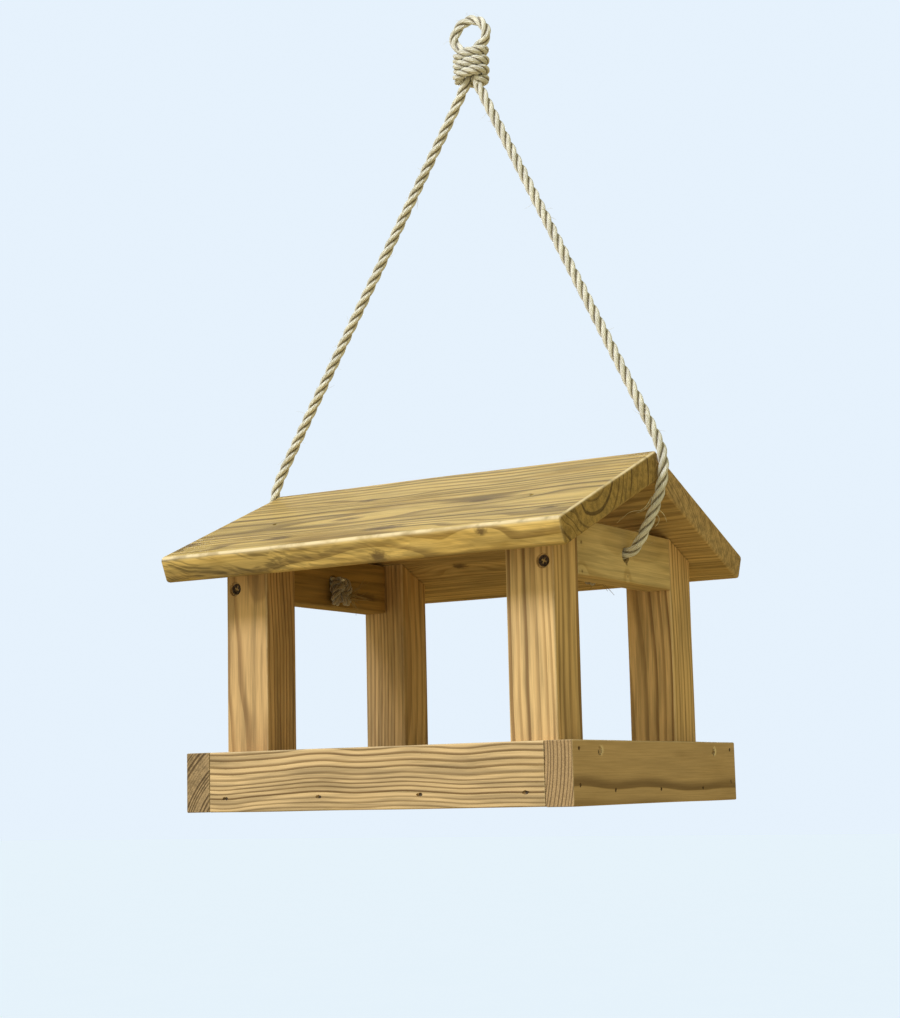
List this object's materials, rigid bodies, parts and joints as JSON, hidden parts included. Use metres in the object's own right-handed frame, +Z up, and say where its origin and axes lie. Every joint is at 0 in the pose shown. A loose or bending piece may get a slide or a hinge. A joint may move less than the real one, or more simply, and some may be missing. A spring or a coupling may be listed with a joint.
{
  "type": "hanging bird feeder",
  "caption": "Hanging wooden bird table: square-railed feeding tray, corner posts and pitched board roof on a rope sling.",
  "frame": {"origin": "top of the inside of the hanging loop, where a hook bears", "axes": "+X along the ridge towards the right end, -Y towards the front, +Z up"},
  "size_m": [0.3138, 0.2596, 0.5408],
  "materials": {
    "tray_pine": "planed, pressure-treated, weathered",
    "post_pine": "planed, pressure-treated",
    "cross_rail_pine": "planed, pressure-treated",
    "roof_pine": "planed, pressure-treated, rounded edges",
    "plywood": "sanded, pressure-treated",
    "screw_steel": "dull, slightly rusted",
    "nail_steel": "dark, rusted",
    "rope": "three-strand natural fibre"
  },
  "bodies": {
    "rope_top": {"hanging_loop": "rope", "loop_knot": "rope"},
    "sling": {"rope_leg_left": "rope", "rope_leg_right": "rope"},
    "feeder": {"corner_pin_back_left_lower": "nail_steel", "corner_pin_back_left_upper": "nail_steel", "corner_pin_back_right_lower": "nail_steel", "corner_pin_back_right_upper": "nail_steel", "corner_pin_front_left_lower": "nail_steel", "corner_pin_front_left_upper": "nail_steel", "corner_pin_front_right_lower": "nail_steel", "corner_pin_front_right_upper": "nail_steel", "cross_rail_left": "cross_rail_pine", "cross_rail_right": "cross_rail_pine", "cross_rail_screw_back_left": "screw_steel", "cross_rail_screw_back_right": "screw_steel", "cross_rail_screw_front_left": "screw_steel", "cross_rail_screw_front_right": "screw_steel", "floor_pin_back_1": "nail_steel", "floor_pin_back_2": "nail_steel", "floor_pin_back_3": "nail_steel", "floor_pin_back_4": "nail_steel", "floor_pin_front_1": "nail_steel", "floor_pin_front_2": "nail_steel", "floor_pin_front_3": "nail_steel", "floor_pin_front_4": "nail_steel", "floor_pin_left_1": "nail_steel", "floor_pin_left_2": "nail_steel", "floor_pin_left_3": "nail_steel", "floor_pin_right_1": "nail_steel", "floor_pin_right_2": "nail_steel", "floor_pin_right_3": "nail_steel", "post_back_left": "post_pine", "post_back_right": "post_pine", "post_front_left": "post_pine", "post_front_right": "post_pine", "post_nail_back_left": "nail_steel", "post_nail_back_right": "nail_steel", "post_nail_front_left": "nail_steel", "post_nail_front_right": "nail_steel", "roof_board_back": "roof_pine", "roof_board_front": "roof_pine", "roof_pin_back_left": "nail_steel", "roof_pin_back_right": "nail_steel", "roof_pin_front_left": "nail_steel", "roof_pin_front_right": "nail_steel", "rope_tail_left": "rope", "rope_tail_right": "rope", "stopper_knot_left": "rope", "stopper_knot_right": "rope", "tray_back_rail": "tray_pine", "tray_floor": "plywood", "tray_front_rail": "tray_pine", "tray_left_end_rail": "tray_pine", "tray_right_end_rail": "tray_pine"}
  },
  "joints": [
    {"name": "sling_swing", "type": "hinge", "parent": "rope_top", "child": "sling", "pos_m": [0, 0, -0.046], "axis": [1, 0, 0], "range_deg": [-40, 40]},
    {"name": "feeder_tilt", "type": "hinge", "parent": "sling", "child": "feeder", "pos_m": [0, 0, -0.324], "axis": [1, 0, 0], "range_deg": [-20, 20]}
  ]
}
